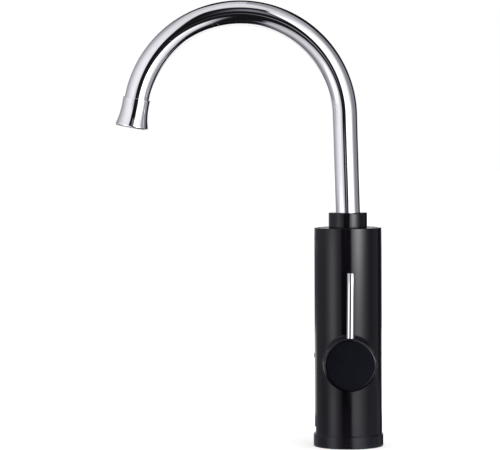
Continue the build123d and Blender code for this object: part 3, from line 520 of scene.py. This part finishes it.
def add_shank():
    # The threaded outside upwards, then the flange, the nipple and the bore back down
    heights = [SHANK_LOW_Z, SHANK_LOW_Z + SHANK_EDGE]
    step = THREAD_PITCH / THREAD_ROWS
    z = SHANK_LOW_Z + SHANK_EDGE + step
    while z < THREAD_TOP_Z:
        heights.append(z)
        z += step
    heights.append(THREAD_TOP_Z)
    upper = ((SHANK_R, PLATE_TOP_Z), (FLANGE_R, PLATE_TOP_Z),
             (FLANGE_R, PLATE_TOP_Z + FLANGE_EDGE), (FLANGE_R, FLANGE_TOP_Z - FLANGE_EDGE),
             (FLANGE_R - FLANGE_EDGE, FLANGE_TOP_Z), (NIPPLE_R, FLANGE_TOP_Z),
             (NIPPLE_R, NIPPLE_TOP_Z - NIPPLE_EDGE), (NIPPLE_R - NIPPLE_EDGE, NIPPLE_TOP_Z),
             (SHANK_BORE_R, NIPPLE_TOP_Z), (SHANK_BORE_R, SHANK_LOW_Z))
    verts = []
    for z in heights:
        for a in turns(SHANK_SIDES):
            r = shank_radius(z, a)
            verts.append(Vector((r * math.cos(a), r * math.sin(a), z)))
    for r, z in upper:
        verts += [Vector((min(r * math.cos(a), FLANGE_FLAT_X), r * math.sin(a), z))
                  for a in turns(SHANK_SIDES)]
    faces = grid_faces(len(heights) + len(upper), SHANK_SIDES, True)
    add_piece("shank_skin", verts, faces, brass, "body", "brass", "inlet_shank", sharp=50.0)


add_shank()

# Flow switch spring, wound to its CAD node's length; the real spring shortens as the float lifts
SPRING_R = 4.6 * MM
SPRING_WIRE_R = 0.4 * MM
SPRING_TURNS = 5
SPRING_STEPS = 48
SPRING_SIDES = 16


def add_spring():
    # One round wire, wound upwards from just over the magnet to just under the guide
    low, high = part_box("flow_spring")
    bottom = low[2] + SPRING_WIRE_R
    rise = high[2] - SPRING_WIRE_R - bottom
    slope = rise / (2 * math.pi * SPRING_TURNS * SPRING_R)
    count = SPRING_TURNS * SPRING_STEPS
    verts = []
    for i in range(count + 1):
        a = 2 * math.pi * i / SPRING_STEPS
        out = Vector((math.cos(a), math.sin(a), 0))
        centre = out * SPRING_R + Vector((0, 0, bottom + rise * i / count))
        along = Vector((-math.sin(a), math.cos(a), slope)).normalized()
        side = along.cross(out)
        verts += [centre + SPRING_WIRE_R * (math.cos(t) * out + math.sin(t) * side)
                  for t in turns(SPRING_SIDES)]
    faces = grid_faces(count + 1, SPRING_SIDES)
    faces.append(tuple(range(SPRING_SIDES - 1, -1, -1)))
    faces.append(tuple(range(count * SPRING_SIDES, (count + 1) * SPRING_SIDES)))
    spring = add_piece("spring_skin", verts, faces, stainless, "body", "steel", "flow_spring")
    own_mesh(spring)


add_spring()


# Stage: the floor with the worktop hole, and the studio that only reflections see

def stage_object(name, verts, faces, mat):
    mesh = bpy.data.meshes.new(name)
    mesh.from_pydata(verts, [], faces)
    mesh.update()
    mesh.materials.append(mat)
    obj = bpy.data.objects.new(name, mesh)
    bpy.context.scene.collection.objects.link(obj)
    return obj


def bare_material(name):
    # A material with an output and an emission, which isn't sampled as a lamp
    mat = bpy.data.materials.new(name)
    mat.use_nodes = True
    mat.cycles.emission_sampling = "NONE"
    tree = mat.node_tree
    tree.nodes.clear()
    out = tree.nodes.new("ShaderNodeOutputMaterial")
    return mat, tree, out, tree.nodes.new("ShaderNodeEmission")


def seen_directly(tree):
    # 1 for camera, glossy and transmission rays, which show the white background
    path = tree.nodes.new("ShaderNodeLightPath")
    total = math_node(tree, "ADD", path.outputs["Is Camera Ray"], path.outputs["Is Glossy Ray"])
    total = math_node(tree, "ADD", total, path.outputs["Is Transmission Ray"])
    return math_node(tree, "MINIMUM", total, 1.0)


FLOOR_Z = -0.0002
FLOOR_HOLE_R = 0.0205
FLOOR_RADII = (FLOOR_HOLE_R, 0.1, 0.4, 1.2, 4.0, 14.0)
FLOOR_SIDES = 96
FLOOR_ALBEDO = 0.80
FLOOR_LIFT = 0.38


def add_floor():
    # A pale floor, lifted to white where it is seen directly
    mat, tree, out, glow = bare_material("studio_floor")
    diffuse = tree.nodes.new("ShaderNodeBsdfDiffuse")
    diffuse.inputs["Color"].default_value = (FLOOR_ALBEDO, FLOOR_ALBEDO, FLOOR_ALBEDO, 1.0)
    lift = math_node(tree, "MULTIPLY", seen_directly(tree), FLOOR_LIFT)
    tree.links.new(lift, glow.inputs["Strength"])
    both = tree.nodes.new("ShaderNodeAddShader")
    tree.links.new(diffuse.outputs[0], both.inputs[0])
    tree.links.new(glow.outputs[0], both.inputs[1])
    tree.links.new(both.outputs[0], out.inputs["Surface"])
    verts = [(r * math.cos(a), r * math.sin(a), FLOOR_Z)
             for r in FLOOR_RADII for a in turns(FLOOR_SIDES)]
    stage_object("floor", verts, grid_faces(len(FLOOR_RADII), FLOOR_SIDES), mat)


add_floor()

# What reflections see, by azimuth from the camera side towards +X and by rise from the
# studio's middle, in degrees: a lit wall with a strip lamp on the left, a dark gap towards
# the camera, a softbox with a strong core on the right, a dim right side, a pale ceiling
# and a dark top at the back. The floor is open at the back, where the background shows.
# Its floor is dark from above and at low angles glows with the walls' light: a painted
# reflection, standing in for a satin floor's gloss.
SHELL_R = 1.0
SHELL_MIDDLE_Z = 0.28
SHELL_WALL_H = 1.3
SHELL_TOP_Z = 2.2
SHELL_TOP_R = 0.001
SHELL_FLOOR_R = 0.0318
SHELL_LIFT = 0.0006
SHELL_COLUMNS = 480
SHELL_FLOOR_ROWS = 40
SHELL_WALL_ROWS = 60
SHELL_DOME_ROWS = 15
BACK_OPEN = (-141.0, 153.0)
BACK_OPEN_R = 0.23
DIM_TINT = (0.94, 0.945, 1.09)
LIT_TINT = (0.99, 0.985, 1.03)
TINT_LEVELS = (0.1, 0.8)

# Its levels. A pair is where a ramp begins and ends, and two pairs are a rising ramp and a
# falling one. A triple is a ramp's height and where it begins and ends, or a hump's height,
# middle and width.
LEFT_BASE = 0.30
LEFT_HIGH = (0.09, 8.0, 32.0)
LEFT_GLOW = (0.82, -53.0, 38.0)
LEFT_UP_LOSS = (0.24, 5.0, 50.0)
LEFT_DOWN_LOSS = (0.42, 5.0, 50.0)
LEFT_SIDE_LOSS = (0.34, 72.0, 92.0)
LEFT_SIDE_BELOW = (5.5, 9.0)
LEFT_INNER_LOSS = (0.34, -48.0, -30.0)
LEFT_INNER_TOP = (5.0, 12.0)
LEFT_FLOOR_LOSS = (0.97, 48.0, 61.0)
STRIP = (1.7, -57.0, 9.5)
STRIP_BELOW = ((5.5, 8.0), (13.0, 24.0))

GAP_LEVEL = 0.010
GAP_MIDDLE = -14.0
GAP_LEFT = (-28.0, -23.0)
GAP_LEFT_UP = (7.0, 20.0, 46.0)
GAP_LEFT_DOWN = (10.0, 32.0, 44.0)
GAP_LEFT_DEEP = (15.0, 42.0, 52.0)
GAP_RIGHT = (5.5, 8.0)
GAP_RIGHT_UP = (5.0, 40.0, 47.0)
GAP_RIGHT_DOWN = (3.0, 15.0, 24.0)
GAP_RIGHT_BULGE = (3.0, -10.0, 3.5)
GAP_RIGHT_SOFT = (13.5, 20.0, 30.0)
SEAM = (0.36, -9.5, 2.3)
SEAM_RISE = ((-7.5, -5.5), (-2.0, 0.0))
FAINT_SEAM = (0.015, -1.0, 4.0)
FAINT_SEAM_RISE = ((-7.5, -5.5), (0.0, 3.0))
HIGH_SEAM = (0.24, -2.0, 5.0)
HIGH_SEAM_RISE = ((17.0, 21.0), (31.0, 40.0))

RIGHT_BASE = 0.30
RIGHT_LOW = (0.3, 10.0, 30.0)
RIGHT_FAR_LOSS = 0.95
RIGHT_FAR = ((110.0, 127.0), (145.0, 156.0))
RIGHT_FLOOR_LOSS = (0.95, 54.0, 62.0)
BOX_LEVEL = 0.94
BOX_EDGE = (45.0, 84.0)
BOX_UP_LOSS = (0.40, 30.0, 55.0)
BOX_DOWN_LOSS = (0.85, 12.0, 68.0)
WINDOW = (1.2, 22.0, 12.0)
WINDOW_RISE = ((12.0, 20.0), (32.0, 40.0))
KEY = (6.2, 32.0, 12.5)
KEY_BASE = 0.40
KEY_LOW_STEP = (0.60, -14.5, -8.5)
KEY_HIGH_STEP = (1.0, -10.0, -6.6)
KEY_CUT = (0.8, -6.2, -4.8)
KEY_TOP = (2.0, 12.0)
KEY_BOTTOM = (16.0, 24.0)

CEILING_LEVEL = 0.90
CEILING_RIGHT_LOSS = (0.48, 10.0, 90.0)
CEILING_LEFT_LOSS = (0.20, 40.0, 130.0)
CEILING_FROM = (49.0, 55.0)
BACK_LEFT = (138.0, 151.0)
BACK_RIGHT = (112.0, 130.0)
BACK_TOP_LOSS = 0.985
BACK_TOP_RISE = ((9.0, 24.0), (57.0, 66.0))
BACK_FLOOR_LOSS = (0.95, 54.0, 60.0)
BAND_LEVEL = 1.2
BAND_LEFT = (146.0, 156.0)
BAND_RIGHT = (150.0, 160.0)
BAND_RISE = ((-8.5, -7.0), (-1.0, 3.0))

# The floor's painted reflection at low angles, laid out for a lower body that mirrors it towards
# a view from
# VIEW_DISTANCE and VIEW_HEIGHT
BODY_R = 0.030
VIEW_DISTANCE = 2.17
VIEW_HEIGHT = 0.2826
MIRROR_STEPS = 20
LOW_HEIGHT = 0.052
LOW_FADE = (0.46, 0.58)
LOW_FACING = (0.60, 0.75)
LOW_MIDDLE = -10.0
LOW_GAP_LEVEL = 0.03
LOW_GAP_LEFT = (-32.0, -20.0)
LOW_GAP_RIGHT = (7.0, 12.0)
LOW_LEFT_BASE = 0.32
LOW_STRIP = (1.35, -56.0, 11.5)
LOW_STRIP_MORE = (0.5, -56.0, 11.5)
LOW_RIGHT_BASE = 1.0
LOW_BOX_LOSS = (0.60, 45.0, 75.0)
LOW_SIDE_LOSS = (0.12, 88.0, 104.0)
LOW_KEY = (0.9, 25.0, 13.0)
LOW_BACK_LOSS = (0.85, 126.0, 140.0)


def ramp(value, low, high):
    # 0 below low, 1 above high, smooth between
    t = min(1.0, max(0.0, (value - low) / (high - low)))
    return t * t * (3.0 - 2.0 * t)


def climb(value, height, low, high):
    return height * ramp(value, low, high)


def hump(value, height, middle, width):
    return height * math.exp(-0.5 * ((value - middle) / width) ** 2)


def between(value, rising, falling):
    # 1 after the first ramp and before the second
    return ramp(value, *rising) * (1.0 - ramp(value, *falling))


def left_light(azimuth, rise):
    wall = LEFT_BASE + climb(rise, *LEFT_HIGH) + hump(azimuth, *LEFT_GLOW)
    wall *= (1.0 - climb(rise, *LEFT_UP_LOSS)) * (1.0 - climb(-rise, *LEFT_DOWN_LOSS))
    wall *= 1.0 - climb(-azimuth, *LEFT_SIDE_LOSS) * ramp(-rise, *LEFT_SIDE_BELOW)
    wall *= 1.0 - climb(azimuth, *LEFT_INNER_LOSS) * (1.0 - ramp(rise, *LEFT_INNER_TOP))
    wall *= 1.0 - climb(-rise, *LEFT_FLOOR_LOSS)
    return wall + hump(azimuth, *STRIP) * between(-rise, *STRIP_BELOW)


def gap_light(azimuth, rise):
    level = GAP_LEVEL
    for seam, seam_rise in ((SEAM, SEAM_RISE), (FAINT_SEAM, FAINT_SEAM_RISE),
                            (HIGH_SEAM, HIGH_SEAM_RISE)):
        level += hump(azimuth, *seam) * between(rise, *seam_rise)
    return level


def right_light(azimuth, rise):
    box = BOX_LEVEL * (1.0 - ramp(azimuth, *BOX_EDGE))
    box *= (1.0 - climb(rise, *BOX_UP_LOSS)) * (1.0 - climb(-rise, *BOX_DOWN_LOSS))
    wall = box + RIGHT_BASE * (1.0 + climb(-rise, *RIGHT_LOW))
    wall *= 1.0 - RIGHT_FAR_LOSS * between(azimuth, *RIGHT_FAR)
    wall *= 1.0 - climb(-rise, *RIGHT_FLOOR_LOSS)
    window = hump(azimuth, *WINDOW) * between(rise, *WINDOW_RISE)
    core = KEY_BASE + climb(rise, *KEY_LOW_STEP) + climb(rise, *KEY_HIGH_STEP)
    core *= 1.0 - climb(rise, *KEY_CUT)
    core *= (1.0 - ramp(rise, *KEY_TOP)) * (1.0 - ramp(-rise, *KEY_BOTTOM))
    return wall + window + core * hump(azimuth, *KEY)


def wall_light(azimuth, rise):
    # From the left wall through the gap to the right one; the gap widens and shifts as it
    # goes up or down, and its right edge is softer low down
    left = climb(rise, *GAP_LEFT_UP) + climb(-rise, *GAP_LEFT_DOWN) + climb(-rise, *GAP_LEFT_DEEP)
    right = hump(rise, *GAP_RIGHT_BULGE) + climb(rise, *GAP_RIGHT_UP)
    right -= climb(-rise, *GAP_RIGHT_DOWN)
    softer = climb(-rise, *GAP_RIGHT_SOFT)
    in_gap = between(azimuth, (GAP_LEFT[0] - left, GAP_LEFT[1] - left),
                     (GAP_RIGHT[0] + right - softer, GAP_RIGHT[1] + right))
    side = left_light(azimuth, rise) if azimuth < GAP_MIDDLE else right_light(azimuth, rise)
    return side + (gap_light(azimuth, rise) - side) * in_gap


def steep_light(azimuth, r, z):
    # How bright the shell is at one place, seen from above where that is the floor
    rise = math.degrees(math.atan2(z - SHELL_MIDDLE_Z, r))
    ceiling = CEILING_LEVEL - climb(azimuth, *CEILING_RIGHT_LOSS)
    ceiling -= climb(-azimuth, *CEILING_LEFT_LOSS)
    up = ramp(rise, *CEILING_FROM)
    level = wall_light(azimuth, rise) * (1.0 - up) + ceiling * up
    band = max(ramp(-azimuth, *BAND_LEFT), ramp(azimuth, *BAND_RIGHT))
    level += (BAND_LEVEL - level) * band * between(rise, *BAND_RISE)
    behind = max(ramp(-azimuth, *BACK_LEFT), ramp(azimuth, *BACK_RIGHT))
    level *= 1.0 - BACK_TOP_LOSS * behind * between(rise, *BACK_TOP_RISE)
    return level * (1.0 - climb(-rise, *BACK_FLOOR_LOSS) * behind)


def mirrored_way(azimuth, r):
    # The way that a ray mirrored by the body took, from where it meets the floor
    way = azimuth
    for _ in range(MIRROR_STEPS):
        way = azimuth + math.degrees(math.asin(BODY_R / r * math.sin(math.radians(way) / 2)))
    return max(-180.0, min(180.0, way))


def floor_painted_reflection(azimuth, r):
    # The floor at a low angle, as the lower body mirrors it: a painted reflection of the walls'
    # light. The share grows from 0 beside the foot to 1 where the body begins to mirror the
    # walls.
    way = mirrored_way(azimuth, r)
    step = (r - BODY_R) / VIEW_DISTANCE
    share = min(1.0, VIEW_HEIGHT * step / (1.0 + step) / LOW_HEIGHT)
    if way < LOW_MIDDLE:
        side = LOW_LEFT_BASE + hump(way, *LOW_STRIP) + share * hump(way, *LOW_STRIP_MORE)
    else:
        side = LOW_RIGHT_BASE - climb(way, *LOW_BOX_LOSS) - climb(way, *LOW_SIDE_LOSS)
        side += (1.0 + share) * hump(way, *LOW_KEY)
        side *= 1.0 - climb(way, *LOW_BACK_LOSS)
    return side + (LOW_GAP_LEVEL - side) * between(way, LOW_GAP_LEFT, LOW_GAP_RIGHT)


def low_light(azimuth, r, z, steep):
    # How bright the shell is at one place for a ray that comes in at a low angle
    if z > SHELL_LIFT:
        return steep
    return steep + (floor_painted_reflection(azimuth, r) - steep) * (1.0 - ramp(r, *LOW_FADE))


def open_at_back(azimuth, r, z):
    return z <= SHELL_LIFT and r > BACK_OPEN_R and not BACK_OPEN[0] < azimuth < BACK_OPEN[1]


def shell_profile():
    # Radius and height from the floor beside the object, out, up the wall and over
    last = SHELL_FLOOR_ROWS - 1
    line = [(SHELL_FLOOR_R * (SHELL_R / SHELL_FLOOR_R) ** (i / last), SHELL_LIFT)
            for i in range(SHELL_FLOOR_ROWS)]
    line += [(SHELL_R, SHELL_WALL_H * i / SHELL_WALL_ROWS)
             for i in range(1, SHELL_WALL_ROWS + 1)]
    for i in range(1, SHELL_DOME_ROWS + 1):
        turn = math.pi / 2 * i / SHELL_DOME_ROWS
        height = SHELL_WALL_H + (SHELL_TOP_Z - SHELL_WALL_H) * math.sin(turn)
        line.append((max(SHELL_TOP_R, SHELL_R * math.cos(turn)), height))
    return line


def shell_material():
    # Emission as strong as the mesh's steep level, or its low one at a low angle, where the
    # floor's low level is a painted reflection of the walls
    mat, tree, out, glow = bare_material("studio_shell")
    steep, low = (tree.nodes.new("ShaderNodeAttribute") for _ in range(2))
    steep.attribute_name = "steep"
    low.attribute_name = "low"
    facing = tree.nodes.new("ShaderNodeLayerWeight").outputs["Facing"]
    more = math_node(tree, "SUBTRACT", low.outputs["Fac"], steep.outputs["Fac"])
    more = math_node(tree, "MULTIPLY", more, spread(tree, facing, 0.0, 1.0, *LOW_FACING))
    level = math_node(tree, "ADD", steep.outputs["Fac"], more)
    lit = spread(tree, level, 0.0, 1.0, *TINT_LEVELS)
    tree.links.new(mixed(tree, lit, DIM_TINT, LIT_TINT), glow.inputs["Color"])
    tree.links.new(level, glow.inputs["Strength"])
    tree.links.new(glow.outputs[0], out.inputs["Surface"])
    return mat


def add_shell():
    # The studio, turned about Z, with its levels on its points
    profile = shell_profile()
    places = [(-180.0 + 360.0 * j / SHELL_COLUMNS, r, z)
              for r, z in profile for j in range(SHELL_COLUMNS)]
    verts = [(r * math.sin(math.radians(azimuth)), -r * math.cos(math.radians(azimuth)), z)
             for azimuth, r, z in places]
    faces = [f for f in grid_faces(len(profile), SHELL_COLUMNS)
             if not open_at_back(*places[f[0]])]
    obj = stage_object("studio_shell", verts, faces, shell_material())
    steep = [steep_light(*place) for place in places]
    low = [low_light(*place, level) for place, level in zip(places, steep)]
    for name, levels in (("steep", steep), ("low", low)):
        attribute = obj.data.attributes.new(name, "FLOAT", "POINT")
        attribute.data.foreach_set("value", levels)
    obj.visible_camera = False
    obj.visible_diffuse = False
    obj.visible_transmission = False
    obj.visible_shadow = False


add_shell()

# Light and world
SUN_DISTANCE = 3.0
WORLD_LEVEL = 0.50


def soft_sun(name, azimuth, height, width, strength):
    # A wide, even light from one direction, angles in degrees
    data = bpy.data.lights.new(name, "SUN")
    data.energy = strength
    data.angle = math.radians(width)
    lamp = bpy.data.objects.new(name, data)
    bpy.context.scene.collection.objects.link(lamp)
    a = math.radians(azimuth)
    h = math.radians(height)
    toward = Vector((math.sin(a) * math.cos(h), -math.cos(a) * math.cos(h), math.sin(h)))
    lamp.location = toward * SUN_DISTANCE
    lamp.rotation_mode = "QUATERNION"
    lamp.rotation_quaternion = toward.to_track_quat("Z", "Y")
    lamp.visible_glossy = False
    lamp.visible_camera = False


def set_world():
    # Half lit, and white where it is seen directly
    world = bpy.data.worlds.new("studio")
    bpy.context.scene.world = world
    world.use_nodes = True
    tree = world.node_tree
    background = tree.nodes["Background"]
    background.inputs["Color"].default_value = (1.0, 1.0, 1.0, 1.0)
    more = math_node(tree, "MULTIPLY", seen_directly(tree), 1.0 - WORLD_LEVEL)
    tree.links.new(math_node(tree, "ADD", more, WORLD_LEVEL), background.inputs["Strength"])


soft_sun("key", azimuth=35.0, height=42.0, width=50.0, strength=0.9)
soft_sun("fill", azimuth=-50.0, height=30.0, width=70.0, strength=0.5)
soft_sun("top", azimuth=0.0, height=88.0, width=80.0, strength=0.8)
set_world()

bpy.context.scene.view_settings.view_transform = "Standard"

# Camera at the photograph's viewing angle, turned a little about its own line of sight
PHOTO_WIDTH = 500.0
FOCAL_PIXELS = 2478.6
SENSOR_WIDTH = 36.0
CLIP_END = 60.0
CAMERA_PLACE = (-0.0869, -2.2, 0.2826)
CAMERA_TARGET = (-0.0869, 0.0, 0.1967)
CAMERA_ROLL = math.radians(-0.26)


def add_camera():
    data = bpy.data.cameras.new("camera")
    data.sensor_fit = "HORIZONTAL"
    data.sensor_width = SENSOR_WIDTH
    data.lens = FOCAL_PIXELS / PHOTO_WIDTH * SENSOR_WIDTH
    data.clip_end = CLIP_END
    camera = bpy.data.objects.new("camera", data)
    bpy.context.scene.collection.objects.link(camera)
    bpy.context.scene.camera = camera
    camera.location = CAMERA_PLACE
    camera.rotation_mode = "QUATERNION"
    level_view = (Vector(CAMERA_TARGET) - Vector(CAMERA_PLACE)).to_track_quat("-Z", "Y")
    camera.rotation_quaternion = level_view @ Quaternion((0, 0, 1), CAMERA_ROLL)


add_camera()
